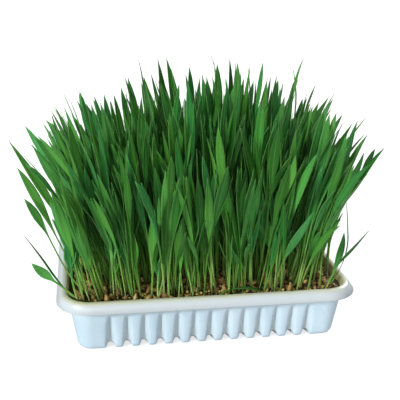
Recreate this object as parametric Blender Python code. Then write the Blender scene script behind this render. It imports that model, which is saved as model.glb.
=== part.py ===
# Wheatgrass growing in a ribbed white plastic tray.
#
# The tray is one thin formed sheet: a flared rim, four fluted walls and a floor with channels.
# It holds a bed of soil with grains on it. The seedlings stand in the bed as tufts: each tuft is
# a clump of matted roots in a plain hole in the soil, with its leaf blades fused to it.
#
# Metres, +Z up. The origin is at the middle of the tray's footprint, on the surface it stands on.
# The long side of the tray runs along X, and its front faces -Y.

import math
import random

import bmesh
import bpy
from mathutils import Vector

# Tray, over the lower edge of its rim
TRAY_LENGTH = 0.190
TRAY_WIDTH = 0.145
TRAY_HEIGHT = 0.036
CORNER_RADIUS = 0.0215
CORNER_STEPS = 5
SHEET = 0.0009

# The wall leans outwards: its distance in from the rim's edge, at the foot and for each metre up
WALL_INSET = 0.0125
WALL_DRAFT = 0.163

# Rim: a flat lip on top of the wall, and a skirt that slopes out and down from it
SKIRT_BOTTOM = 0.0298
SKIRT_INSET = 0.0008
LIP_INSET = 0.0047

# Flutes in the walls, which turn in under the floor and fade out there
FLUTE_PITCH = 0.01046
FLUTES_LONG = 13
FLUTES_SHORT = 9
FLUTE_TOP = 0.0262
FLUTE_DEPTH = 0.0024
FLUTE_RUN = 0.0065
FLUTE_WIDTHS = {"top": 0.0026, "foot": 0.0052, "sole": 0.0054, "end": 0.0032}
ARCH_HEIGHT = 0.0037
FOOT_ROUND = (0.0021, 0.0034)
FOOT_LINE = 0.0009

# Soil bed
SOIL_TOP = 0.0312
SOIL_LUMP = 0.0007
SOIL_CLEARANCE = 0.0004
SOIL_CHAMFER = 0.002
SOIL_CELLS = (7, 5)
GRAIN_COUNT = 36
GRAIN_SIZE = (0.0038, 0.0019, 0.0017)
GRAIN_INSET = 0.0135
GRAIN_TILT = 0.35

# Tufts of seedlings
TUFT_COLUMNS = 7
TUFT_ROWS = 6
TUFT_SPAN = (0.1486, 0.1036)
TUFT_JITTER = 0.0005
CLUMP_RADIUS = 0.0090
CLUMP_DEPTH = 0.0048
CLUMP_SIDES = 6
BLADES_PER_TUFT = 10
ROOT_SPREAD = 0.0064
ROOT_SPACING = 0.0027
ROOT_SUNK = 0.0030

# Leaf blades
BLADE_HEIGHT = (0.085, 0.126)
TALL_SHARE = 0.05
TALL_RISE = 1.12
TALLEST = 0.144
BLADE_WIDTH = (0.0038, 0.0056)
BLADE_GAP = 0.0010
RIM_GAP = 0.0012
TRACE_STEP = 0.004
DOME = 0.16
BACK_RISE = 0.04
SPLAY = (0.031, 0.019)
SPLAY_POWER = 2.1
SPLAY_VARIES = (0.75, 1.15)
SIDE_LEAN = 0.005
REACH = (0.1260, 0.0980)
FAN = 0.75
SCATTER = 0.008
TWIST = 0.35
BOW = (1.25, 1.9)
STRAY_SHARE = 0.12
STRAY_EDGE = 0.85
STRAY_SPLAY = (1.3, 1.7)
STRAY_HEIGHT = (0.55, 0.8)
TRIES = 40
SEED = 11

# Where the sections of a blade are along its length, and its width and thickness there
BLADE_STATIONS = (0.0, 0.40, 0.72)
BLADE_WIDTHS = (0.36, 0.68, 1.0)
BLADE_THICKNESSES = (0.0015, 0.0012, 0.0009)

MATERIALS = {
    "white_plastic": ((0.86, 0.91, 0.95), 0.35),
    "soil": ((0.10, 0.065, 0.035), 0.95),
    "leaf": ((0.06, 0.24, 0.05), 0.5),
}


def clear_scene():
    for obj in list(bpy.data.objects):
        bpy.data.objects.remove(obj)


def material(name):
    """The Principled material of that name, made once."""
    made = bpy.data.materials.get(name)
    if made is None:
        made = bpy.data.materials.new(name)
        made.use_nodes = True
        shader = made.node_tree.nodes["Principled BSDF"]
        colour, roughness = MATERIALS[name]
        shader.inputs["Base Color"].default_value = (*colour, 1)
        shader.inputs["Roughness"].default_value = roughness
    return made


def object_from(mesh_data, name, slot, collection=None):
    """A new object that holds this bmesh, which is freed."""
    mesh = bpy.data.meshes.new(name)
    mesh_data.to_mesh(mesh)
    mesh_data.free()
    made = bpy.data.objects.new(name, mesh)
    mesh.materials.append(material(slot))
    (collection or bpy.context.scene.collection).objects.link(made)
    return made


def bake_modifiers(obj):
    """Replaces the object's mesh with what its modifiers make of it."""
    bpy.context.view_layer.update()
    graph = bpy.context.evaluated_depsgraph_get()
    baked = bpy.data.meshes.new_from_object(obj.evaluated_get(graph))
    obj.modifiers.clear()
    obj.data = baked


def helper_collection(name):
    made = bpy.data.collections.new(name)
    bpy.context.scene.collection.children.link(made)
    return made


def combine(obj, collection, operation):
    """Joins a collection's objects to obj, or cuts them from it, and then removes them."""
    boolean = obj.modifiers.new(operation.title(), "BOOLEAN")
    boolean.operation = operation
    boolean.operand_type = "COLLECTION"
    boolean.collection = collection
    boolean.solver = "MANIFOLD"
    bake_modifiers(obj)
    for part in list(collection.objects):
        bpy.data.objects.remove(part)
    bpy.data.collections.remove(collection)


# Tray

def wall_inset(z):
    """How far the wall's outer face is in from the rim's edge, at height z."""
    return WALL_INSET - WALL_DRAFT * z


def side_point(side, along, inset, z):
    """A point on a wall. Sides run anticlockwise from the right one: right, back, left, front."""
    reach = (TRAY_LENGTH / 2 if side % 2 == 0 else TRAY_WIDTH / 2) - inset
    x, y = (reach, along) if side % 2 == 0 else (-along, reach)
    return Vector((x, y, z)) if side < 2 else Vector((-x, -y, z))


def corner_points(corner, inset, z):
    """The arc that leads to a side: corner 0 joins the front wall to the right one."""
    radius = CORNER_RADIUS - inset
    sign_x, sign_y = ((1, -1), (1, 1), (-1, 1), (-1, -1))[corner]
    centre = Vector((sign_x * (TRAY_LENGTH / 2 - CORNER_RADIUS),
                     sign_y * (TRAY_WIDTH / 2 - CORNER_RADIUS), z))
    points = []
    for step in range(CORNER_STEPS + 1):
        angle = math.radians(90 * (corner - 1 + step / CORNER_STEPS))
        points.append(centre + radius * Vector((math.cos(angle), math.sin(angle), 0)))
    return points


def flute_centres(side):
    count = FLUTES_SHORT if side % 2 == 0 else FLUTES_LONG
    return [(n - (count - 1) / 2) * FLUTE_PITCH for n in range(count)]


def flute_points(side, level):
    """Each flute's three points at a level: one edge of its mouth, its bed, and the other edge."""
    flutes = []
    for centre in flute_centres(side):
        flutes.append([
            side_point(side, centre - level["mouth"], level["inset"], level["z"]),
            side_point(side, centre, level["bed_inset"], level["bed_z"]),
            side_point(side, centre + level["mouth"], level["inset"], level["z"]),
        ])
    return flutes


def flute_levels():
    """The fluted wall from the top of the flutes, round the rib feet, to where the flutes fade out."""
    def level(place, z, extra, depth, bed_z):
        return {"z": z, "inset": wall_inset(z) + extra, "mouth": FLUTE_WIDTHS[place] / 2,
                "bed_z": bed_z, "bed_inset": wall_inset(bed_z) + depth}
    foot_in, foot_up = FOOT_ROUND
    run = foot_in + FLUTE_RUN
    return [
        level("top", FLUTE_TOP, 0.0, 0.0, FLUTE_TOP),
        level("foot", foot_up, 0.0, FLUTE_DEPTH, ARCH_HEIGHT + FOOT_LINE),
        level("sole", 0.0, foot_in, foot_up, ARCH_HEIGHT),
        level("end", 0.0, run, run + FOOT_LINE, 0.0),
    ]


def add_loop(mesh_data, level, fluted):
    """One outline of the tray as vertices: its four corner arcs, and the flutes of its four sides."""
    arcs, sides = [], []
    for corner in range(4):
        arcs.append([mesh_data.verts.new(p) for p in corner_points(corner, level["inset"], level["z"])])
        flutes = flute_points(corner, level) if fluted else []
        sides.append([[mesh_data.verts.new(p) for p in flute] for flute in flutes])
    return {"arcs": arcs, "sides": sides}


def whole_side(loop, side):
    """A wall's vertices from the end of one corner to the start of the next."""
    flutes = [vert for flute in loop["sides"][side] for vert in flute]
    return [loop["arcs"][side][-1], *flutes, loop["arcs"][(side + 1) % 4][0]]


def strip(mesh_data, upper, lower):
    for a, b, c, d in zip(upper, upper[1:], lower[1:], lower):
        mesh_data.faces.new((a, b, c, d))


def join_loops(mesh_data, upper, lower):
    """Faces between two outlines. A wall whose runs differ in count is one flat face."""
    for side in range(4):
        strip(mesh_data, upper["arcs"][side], lower["arcs"][side])
        top, bottom = whole_side(upper, side), whole_side(lower, side)
        if len(top) == len(bottom):
            strip(mesh_data, top, bottom)
        else:
            mesh_data.faces.new((*top, *reversed(bottom)))


def close_floor(mesh_data, foot, fade):
    """The flutes' ramps under the floor, and the flat floor itself round them."""
    outline = []
    for side in range(4):
        outline += foot["arcs"][side]
        for outer, points in zip(foot["sides"][side], flute_points(side, fade)):
            inner = [mesh_data.verts.new(point) for point in points]
            strip(mesh_data, outer, inner)
            outline += [outer[0], *inner, outer[-1]]
    mesh_data.faces.new(outline)


def make_tray():
    """The sheet's outer face, made solid by its thickness."""
    mesh_data = bmesh.new()
    lip_z = TRAY_HEIGHT - SHEET
    rim = [
        {"inset": SKIRT_INSET, "z": SKIRT_BOTTOM},
        {"inset": LIP_INSET, "z": lip_z},
        {"inset": wall_inset(lip_z), "z": lip_z},
    ]
    *walls, fade = flute_levels()
    loops = [add_loop(mesh_data, level, False) for level in rim]
    loops += [add_loop(mesh_data, level, True) for level in walls]
    for upper, lower in zip(loops, loops[1:]):
        join_loops(mesh_data, upper, lower)
    close_floor(mesh_data, loops[-1], fade)
    bmesh.ops.recalc_face_normals(mesh_data, faces=mesh_data.faces)
    mesh_data.faces.ensure_lookup_table()
    lowest = min(mesh_data.faces, key=lambda face: face.calc_center_median().z)
    if lowest.normal.z > 0:
        bmesh.ops.reverse_faces(mesh_data, faces=mesh_data.faces)
    tray = object_from(mesh_data, "tray", "white_plastic")
    solidify = tray.modifiers.new("Sheet", "SOLIDIFY")
    solidify.thickness = SHEET
    solidify.offset = -1
    solidify.use_even_offset = True
    return tray


# Soil bed

def rounded(u, v, half_x, half_y, radius):
    """A point of a square grid, u and v from -1 to 1, laid in a rounded rectangle."""
    x, y = u * half_x, v * half_y
    dx, dy = abs(x) - (half_x - radius), abs(y) - (half_y - radius)
    if dx > 0 and dy > 0:
        pull = max(dx, dy) / math.hypot(dx, dy)
        x = math.copysign(half_x - radius + dx * pull, x)
        y = math.copysign(half_y - radius + dy * pull, y)
    return x, y


def soil_height(x, y):
    """The bed's lumpy top."""
    wave = math.sin(310 * x + 1.3 * math.sin(190 * y)) * math.cos(270 * y + 0.7)
    return SOIL_TOP + SOIL_LUMP * wave


def soil_levels():
    """(distance in from the rim's edge, height) down the bed's side, clear of the flutes' backs."""
    clear = SHEET + SOIL_CLEARANCE
    low = ARCH_HEIGHT + clear
    foot_in, foot_up = FOOT_ROUND
    return [
        (wall_inset(FLUTE_TOP) + clear, FLUTE_TOP),
        (wall_inset(low + SOIL_CHAMFER) + FLUTE_DEPTH + clear, low + SOIL_CHAMFER),
        (wall_inset(0) + foot_up + clear, low),
        (wall_inset(0) + foot_in + FLUTE_RUN + SOIL_CHAMFER + clear, clear),
    ]


def make_soil(tufts):
    """A square grid laid in the tray's round-cornered outline, drawn down to the floor in steps."""
    mesh_data = bmesh.new()
    bmesh.ops.create_grid(mesh_data, x_segments=SOIL_CELLS[0], y_segments=SOIL_CELLS[1], size=1)
    place = mesh_data.verts.layers.float_vector.new("place")

    def lay(vert, inset):
        return rounded(vert[place].x, vert[place].y, TRAY_LENGTH / 2 - inset,
                       TRAY_WIDTH / 2 - inset, CORNER_RADIUS - inset)

    for vert in mesh_data.verts:
        vert[place] = vert.co
        x, y = lay(vert, wall_inset(SOIL_TOP) + SHEET + SOIL_CLEARANCE)
        vert.co = (x, y, soil_height(x, y))
    edges = [edge for edge in mesh_data.edges if edge.is_boundary]
    for inset, z in soil_levels():
        drawn = bmesh.ops.extrude_edge_only(mesh_data, edges=edges)["geom"]
        edges = [item for item in drawn if isinstance(item, bmesh.types.BMEdge)]
        for vert in [item for item in drawn if isinstance(item, bmesh.types.BMVert)]:
            vert.co = (*lay(vert, inset), z)
    bmesh.ops.contextual_create(mesh_data, geom=edges)
    bmesh.ops.recalc_face_normals(mesh_data, faces=mesh_data.faces)
    soil = object_from(mesh_data, "soil", "soil")
    combine(soil, make_grains(tufts), "UNION")
    combine(soil, make_holes(tufts), "DIFFERENCE")
    return soil


def make_grains(tufts):
    """Grains that lie half sunk in the soil between the clumps."""
    draw = random.Random(SEED + 1)
    collection = helper_collection("grains")
    placed = []
    half_x, half_y = TRAY_LENGTH / 2 - GRAIN_INSET, TRAY_WIDTH / 2 - GRAIN_INSET
    bend = CORNER_RADIUS - GRAIN_INSET
    clearance = CLUMP_RADIUS + GRAIN_SIZE[0] + SOIL_CLEARANCE
    while len(placed) < GRAIN_COUNT:
        place = Vector((draw.uniform(-half_x, half_x), draw.uniform(-half_y, half_y)))
        past = Vector((max(abs(place.x) - half_x + bend, 0), max(abs(place.y) - half_y + bend, 0)))
        if past.length > bend or any((place - tuft).length < clearance for tuft in tufts):
            continue
        if any((place - other).length < 2 * GRAIN_SIZE[0] for other in placed):
            continue
        placed.append(place)
        mesh_data = bmesh.new()
        bmesh.ops.create_icosphere(mesh_data, subdivisions=1, radius=1)
        grain = object_from(mesh_data, f"grain_{len(placed)}", "soil", collection)
        grain.scale = [size * draw.uniform(0.85, 1.1) for size in GRAIN_SIZE]
        grain.rotation_euler = (draw.uniform(-GRAIN_TILT, GRAIN_TILT),
                                draw.uniform(-GRAIN_TILT, GRAIN_TILT), draw.uniform(0, math.pi))
        grain.location = (*place, soil_height(*place) + SOIL_CLEARANCE)
    return collection


def clump_outline(centre, radius, z):
    turn = 2 * math.pi / CLUMP_SIDES
    return [Vector((centre.x + radius * math.cos(n * turn), centre.y + radius * math.sin(n * turn), z))
            for n in range(CLUMP_SIDES)]


def prism(centre, radius, bottom, top):
    """An upright prism, as a bmesh: a clump of roots, or the hole that one stands in."""
    mesh_data = bmesh.new()
    ring = [mesh_data.verts.new(point) for point in clump_outline(centre, radius, bottom)]
    face = mesh_data.faces.new(ring)
    made = bmesh.ops.extrude_face_region(mesh_data, geom=[face])["geom"]
    raised = [item for item in made if isinstance(item, bmesh.types.BMVert)]
    bmesh.ops.translate(mesh_data, verts=raised, vec=(0, 0, top - bottom))
    bmesh.ops.recalc_face_normals(mesh_data, faces=mesh_data.faces)
    return mesh_data


def make_holes(tufts):
    collection = helper_collection("holes")
    for number, centre in enumerate(tufts, 1):
        depth = SOIL_TOP - CLUMP_DEPTH - SOIL_CLEARANCE
        hole = prism(centre, CLUMP_RADIUS + SOIL_CLEARANCE, depth, TRAY_HEIGHT + 0.005)
        object_from(hole, f"hole_{number}", "soil", collection)
    return collection


# Seedlings

def tuft_centres():
    """Rows of tufts, each row set half a step from the next, with a little scatter."""
    draw = random.Random(SEED)
    step_x, step_y = TUFT_SPAN[0] / (TUFT_COLUMNS - 0.5), TUFT_SPAN[1] / (TUFT_ROWS - 1)
    centres = []
    for row in range(TUFT_ROWS):
        for column in range(TUFT_COLUMNS):
            x = -TUFT_SPAN[0] / 2 + (column + 0.5 * (row % 2)) * step_x
            y = -TUFT_SPAN[1] / 2 + row * step_y
            scatter = Vector((draw.uniform(-1, 1), draw.uniform(-1, 1))) * TUFT_JITTER
            centres.append(Vector((x, y)) + scatter)
    return centres


def root_places(centre, draw):
    """Where a tuft's blades leave its clump, spaced apart."""
    places = []
    while len(places) < BLADES_PER_TUFT:
        angle, share = draw.uniform(0, 2 * math.pi), math.sqrt(draw.random())
        place = centre + ROOT_SPREAD * share * Vector((math.cos(angle), math.sin(angle)))
        if all((place - other).length > ROOT_SPACING for other in places):
            places.append(place)
    return places


def draw_blade(root, centre, draw):
    """One blade's measures: it fans out from its tuft, and leans out more towards the tray's edge."""
    share = Vector((2 * root.x / TUFT_SPAN[0], 2 * root.y / TUFT_SPAN[1]))
    edge = max(abs(share.x), abs(share.y))
    splay = Vector([math.copysign(abs(part) ** SPLAY_POWER * most, part)
                    for part, most in zip(share, SPLAY)])
    height = draw.uniform(*BLADE_HEIGHT) * (1.06 - DOME * edge ** 2) * (1 + BACK_RISE * share.y)
    if edge > STRAY_EDGE and draw.random() < STRAY_SHARE:
        splay *= draw.uniform(*STRAY_SPLAY)
        height *= draw.uniform(*STRAY_HEIGHT)
    elif draw.random() < TALL_SHARE:
        height *= TALL_RISE
    scatter = Vector((draw.gauss(-SIDE_LEAN, SCATTER), draw.gauss(0, SCATTER)))
    tip = root + splay * draw.uniform(*SPLAY_VARIES) + (root - centre) * FAN + scatter
    tip.x = max(-REACH[0], min(REACH[0], tip.x))
    tip.y = max(-REACH[1], min(REACH[1], tip.y))
    return {
        "root": root, "lean": tip - root, "height": min(height, TALLEST),
        "width": draw.uniform(*BLADE_WIDTH), "facing": draw.uniform(0, math.pi),
        "twist": draw.gauss(0, TWIST), "bow": draw.uniform(*BOW),
    }


def section(blade, t, width, thickness):
    """The blade's outline at t, from 0 at the soil to 1 at the tip: two edges and the keel."""
    x, y = blade["root"] + blade["lean"] * t ** blade["bow"]
    centre = Vector((x, y, SOIL_TOP + blade["height"] * t))
    angle = blade["facing"] + blade["twist"] * t
    across = Vector((math.cos(angle), math.sin(angle), 0))
    behind = Vector((-across.y, across.x, 0)) * thickness
    reach = across * blade["width"] * width / 2
    return [centre - reach - behind / 3, centre + reach - behind / 3, centre + behind * 2 / 3]


def sections(blade):
    """The outlines that the blade's solid has, the last one being its point."""
    outlines = [section(blade, *measures)
                for measures in zip(BLADE_STATIONS, BLADE_WIDTHS, BLADE_THICKNESSES)]
    return [*outlines, section(blade, 1.0, 0.0, 0.0)]


def traced(blade):
    """The solid's outline in plan at even heights, for telling whether two blades meet."""
    trace = {}
    for low, high in zip(sections(blade), sections(blade)[1:]):
        bottom, top = low[0].z - SOIL_TOP, high[0].z - SOIL_TOP
        for n in range(math.ceil(bottom / TRACE_STEP), math.floor(top / TRACE_STEP) + 1):
            share = (n * TRACE_STEP - bottom) / (top - bottom)
            trace[n] = [a.lerp(b, share).xy for a, b in zip(low, high)]
    return trace


def segments_apart(a, b):
    """The shortest distance between two segments in plan."""
    def from_point(point, start, end):
        line = end - start
        share = max(0.0, min(1.0, (point - start).dot(line) / max(line.length_squared, 1e-12)))
        return (start + line * share - point).length

    def turn(p, q, r):
        return (q.x - p.x) * (r.y - p.y) - (q.y - p.y) * (r.x - p.x)

    if turn(*a, b[0]) * turn(*a, b[1]) < 0 and turn(*b, a[0]) * turn(*b, a[1]) < 0:
        return 0.0
    return min(from_point(a[0], *b), from_point(a[1], *b), from_point(b[0], *a), from_point(b[1], *a))


def outlines_apart(a, b):
    """The shortest distance between the sides of two outlines in plan."""
    sides_a, sides_b = zip(a, a[1:] + a[:1]), list(zip(b, b[1:] + b[:1]))
    return min(segments_apart(side_a, side_b) for side_a in sides_a for side_b in sides_b)


def meets(trace, others):
    """True if the blade comes within the gap of a blade that stands already."""
    reach = 2 * BLADE_WIDTH[1]
    for other in others:
        for n, outline in trace.items():
            if n in other and (outline[2] - other[n][2]).length < reach:
                if outlines_apart(outline, other[n]) < BLADE_GAP:
                    return True
    return False


def clears_rim(trace):
    """True if the blade stays inside the wall until it is above the rim."""
    inset = wall_inset(TRAY_HEIGHT) + SHEET + RIM_GAP
    radius = CORNER_RADIUS - inset
    for n in range(1, 1 + math.ceil((TRAY_HEIGHT - SOIL_TOP) / TRACE_STEP)):
        for edge in trace[n]:
            past = Vector((max(abs(edge.x) - TRAY_LENGTH / 2 + inset + radius, 0),
                           max(abs(edge.y) - TRAY_WIDTH / 2 + inset + radius, 0)))
            if past.length > radius:
                return False
    return True


def plant(tufts):
    """The blades of every tuft: a blade that would meet another one is drawn again, then left out."""
    draw = random.Random(SEED + 2)
    standing, planted = [], []
    for centre in tufts:
        blades = []
        for root in root_places(centre, draw):
            for attempt in range(TRIES):
                blade = draw_blade(root, centre, draw)
                trace = traced(blade)
                if clears_rim(trace) and not meets(trace, standing):
                    standing.append(trace)
                    blades.append(blade)
                    break
        planted.append(blades)
    return planted


def blade_mesh(blade):
    """A blade with three faces: a flat upper face, and two that meet in the keel behind it."""
    mesh_data = bmesh.new()
    *outlines, point = sections(blade)
    for corner in outlines[0]:
        corner.z -= ROOT_SUNK
    rings = [[mesh_data.verts.new(corner) for corner in outline] for outline in outlines]
    tip = mesh_data.verts.new(point[0])
    mesh_data.faces.new(reversed(rings[0]))
    for lower, upper in zip(rings, rings[1:]):
        for n in range(3):
            mesh_data.faces.new((lower[n], lower[(n + 1) % 3], upper[(n + 1) % 3], upper[n]))
    for n in range(3):
        mesh_data.faces.new((rings[-1][n], rings[-1][(n + 1) % 3], tip))
    bmesh.ops.triangulate(mesh_data, faces=mesh_data.faces)
    bmesh.ops.recalc_face_normals(mesh_data, faces=mesh_data.faces)
    return mesh_data


def make_tuft(number, centre, blades):
    """A clump of roots with its blades, as one body."""
    name = f"tuft_{number:02d}"
    clump = prism(centre, CLUMP_RADIUS, SOIL_TOP - CLUMP_DEPTH, SOIL_TOP - 0.0004)
    tuft = object_from(clump, name, "leaf")
    collection = helper_collection(name + "_blades")
    for count, blade in enumerate(blades, 1):
        object_from(blade_mesh(blade), f"{name}_blade_{count}", "leaf", collection)
    combine(tuft, collection, "UNION")
    return tuft


def main():
    clear_scene()
    make_tray()
    tufts = tuft_centres()
    make_soil(tufts)
    planted = plant(tufts)
    for number, (centre, blades) in enumerate(zip(tufts, planted), 1):
        make_tuft(number, centre, blades)
    print(sum(map(len, planted)), "blades in", len(tufts), "tufts")


main()
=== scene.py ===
# %% [markdown]
# # A tray of wheatgrass
#
# This script dresses a plain model of a small tray of wheatgrass. The plain model already has every
# piece at its real size and place: the tray, the soil and forty-two tufts of seedlings. Here each of
# them is built again in the same form, with the detail that a camera sees. The first step loads that
# model as a fixed frame and keeps its box, so that the new pieces can be held to it.

# %% Load the frame
import math
import random

import bmesh
import bpy
from mathutils import Matrix, Vector, noise


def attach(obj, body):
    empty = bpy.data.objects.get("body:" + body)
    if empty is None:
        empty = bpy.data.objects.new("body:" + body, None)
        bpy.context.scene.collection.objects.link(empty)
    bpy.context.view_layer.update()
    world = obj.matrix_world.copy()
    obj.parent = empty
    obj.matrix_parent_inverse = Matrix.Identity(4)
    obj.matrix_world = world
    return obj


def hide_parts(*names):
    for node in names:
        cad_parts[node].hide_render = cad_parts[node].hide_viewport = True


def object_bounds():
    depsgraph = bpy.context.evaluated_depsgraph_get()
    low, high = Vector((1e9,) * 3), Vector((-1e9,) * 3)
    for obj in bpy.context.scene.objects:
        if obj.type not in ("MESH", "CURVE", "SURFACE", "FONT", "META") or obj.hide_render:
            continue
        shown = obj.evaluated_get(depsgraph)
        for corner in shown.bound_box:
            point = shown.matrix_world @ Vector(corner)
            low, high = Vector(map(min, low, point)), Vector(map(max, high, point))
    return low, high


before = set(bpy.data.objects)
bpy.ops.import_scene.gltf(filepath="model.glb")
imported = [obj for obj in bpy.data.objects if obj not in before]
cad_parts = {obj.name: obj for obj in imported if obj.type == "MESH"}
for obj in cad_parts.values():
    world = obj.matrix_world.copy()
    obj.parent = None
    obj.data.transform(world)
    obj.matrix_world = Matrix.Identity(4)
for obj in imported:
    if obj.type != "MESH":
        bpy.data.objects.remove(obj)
model_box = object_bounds()
MM = 0.001
print("plain model from", model_box[0], "to", model_box[1])


# %% [markdown]
# Most finishes need the same few steps: a material, some texture nodes, and links between them. A
# helper that takes a node's inputs as a dictionary keeps each finish short enough to read, because a
# value and the socket that feeds it are written in the same place. The other helper turns a bmesh
# into an object that stands for the plain piece it replaces.

# %% Helpers for nodes and pieces
def node(tree, kind, inputs=None, **settings):
    """Adds a shader node. Its inputs are plain values, or sockets that are linked to them."""
    made = tree.nodes.new("ShaderNode" + kind)
    for name, value in settings.items():
        setattr(made, name, value)
    for key, value in (inputs or {}).items():
        if isinstance(value, bpy.types.NodeSocket):
            tree.links.new(value, made.inputs[key])
        else:
            made.inputs[key].default_value = value
    return made


def maths(tree, operation, a, b=0.0):
    return node(tree, "Math", {0: a, 1: b}, operation=operation).outputs[0]


def times(tree, a, b):
    return maths(tree, "MULTIPLY", a, b)


def blend(tree, share, first, second, kind="MIX"):
    """A colour between two others."""
    made = node(tree, "Mix", {0: share, 6: first, 7: second}, data_type="RGBA", blend_type=kind)
    return made.outputs[2]


def span(tree, value, low, high, to_low=0.0, to_high=1.0):
    """A value carried from one range to another, and held at its ends."""
    ends = {"Value": value, "From Min": low, "From Max": high, "To Min": to_low, "To Max": to_high}
    return node(tree, "MapRange", ends).outputs[0]


def ramp(tree, value, stops):
    """A colour that follows a value through a few stops: (place, colour)."""
    made = node(tree, "ValToRGB", {0: value})
    elements = made.color_ramp.elements
    while len(elements) < len(stops):
        elements.new(1.0)
    for element, (place, colour) in zip(elements, stops):
        element.position = place
        element.color = (*colour, 1.0)
    return made.outputs[0]


def cloud(tree, where, scale, detail=2.0, roughness=0.5):
    ends = {"Vector": where, "Scale": scale, "Detail": detail, "Roughness": roughness}
    return node(tree, "TexNoise", ends).outputs[0]


def finish_named(name):
    """A new material with its node tree, its shader and its Object coordinates."""
    material = bpy.data.materials.new(name)
    material.use_nodes = True
    tree = material.node_tree
    shader = tree.nodes["Principled BSDF"]
    return material, tree, shader, node(tree, "TexCoord").outputs["Object"]


def piece(shape, name, materials, stands_for=()):
    """An object made from a bmesh, which rides on the frame and replaces plain pieces."""
    mesh = bpy.data.meshes.new(name)
    shape.to_mesh(mesh)
    shape.free()
    mesh.shade_smooth()
    for material in materials:
        mesh.materials.append(material)
    made = bpy.data.objects.new(name, mesh)
    bpy.context.scene.collection.objects.link(made)
    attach(made, "root")
    if stands_for:
        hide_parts(*stands_for)
    print("made", name, "with", len(mesh.polygons), "faces")
    return made


# %% [markdown]
# The tray is one thin plastic sheet, drawn hot over a mould. So it is modelled as one sheet too: the
# rim's outline, carried down the wall in steps, round the feet and in under the floor. The outline
# starts as a single face. Beveling its four corner points rounds them, and cutting its straight
# edges gives the flutes enough points to bend. The face is thrown away, and only its edge is kept.

# %% The tray's outline
TRAY_LENGTH, TRAY_WIDTH = 190 * MM, 145 * MM
CORNER_RADIUS = 21.5 * MM
FLUTE_PITCH = 10.46 * MM
POINTS_PER_FLUTE = 16


def tray_outline():
    """The rim's outer edge as a loop of edges, at z = 0."""
    shape = bmesh.new()
    bmesh.ops.create_grid(shape, x_segments=1, y_segments=1, size=0.5)
    bmesh.ops.scale(shape, vec=(TRAY_LENGTH, TRAY_WIDTH, 1), verts=shape.verts)
    bmesh.ops.bevel(shape, geom=shape.verts[:], offset=CORNER_RADIUS, offset_type="OFFSET",
                    affect="VERTICES", segments=14, profile=0.5, material=-1)
    bmesh.ops.delete(shape, geom=shape.faces[:], context="FACES_ONLY")
    for edge in [edge for edge in shape.edges if edge.calc_length() > CORNER_RADIUS]:
        cuts = round(edge.calc_length() / FLUTE_PITCH * POINTS_PER_FLUTE) - 1
        bmesh.ops.subdivide_edges(shape, edges=[edge], cuts=cuts)
    return shape


# %% [markdown]
# Every step down the sheet is a pair of places: where the ribs are, and where the beds of the flutes
# between them are. A point of the outline lies somewhere between the two. Each place is given by how
# far it is in from the rim's edge and how high it is. The flutes start as a point under the rim and
# run down the wall as a V that widens and deepens, and the ribs between them are crowned. At the
# bottom the V opens into a round arch between every two feet, which fades out under the floor. A
# narrow flat band ends the last step, so that the floor inside it is shaded flat.

# %% The sheet's profile
SHEET = 0.9 * MM
WALL_INSET, WALL_DRAFT = 12.5 * MM, 0.163
SKIRT_EDGE, SHOULDER, LIP_EDGE = (0.8 * MM, 29.8 * MM), (4.7 * MM, 35.1 * MM), (6.8 * MM, 35.1 * MM)
RIM_FILLET = 1.0 * MM
FLUTE_TOP, FLUTE_DEPTH = 25.0 * MM, 2.9 * MM
HALF_AT_TOP, HALF_AT_FOOT, HALF_AT_END = 2.2 * MM, 3.2 * MM, 2.0 * MM
ARCH_HEIGHT, FOOT_LINE, FLUTE_RUN = 3.7 * MM, 0.9 * MM, 6.5 * MM
FOOT_IN, FOOT_UP = 2.1 * MM, 3.4 * MM
FLOOR_BAND = 0.3 * MM
RIB_CROWN = 0.8 * MM
WALL_STEPS, FOOT_STEPS, FLOOR_STEPS = 12, 5, 5


def wall_inset(z):
    return WALL_INSET - WALL_DRAFT * z


def filleted(points, radius, steps=5):
    """The points of a profile with its inner corners rounded."""
    smooth = [points[0]]
    for before, corner, after in zip(points, points[1:], points[2:]):
        before, corner, after = Vector(before), Vector(corner), Vector(after)
        start = corner + (before - corner).normalized() * radius
        end = corner + (after - corner).normalized() * radius
        for step in range(steps + 1):
            t = step / steps
            smooth.append(tuple(start.lerp(corner, t).lerp(corner.lerp(end, t), t)))
    return [*smooth, points[-1]]


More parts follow.
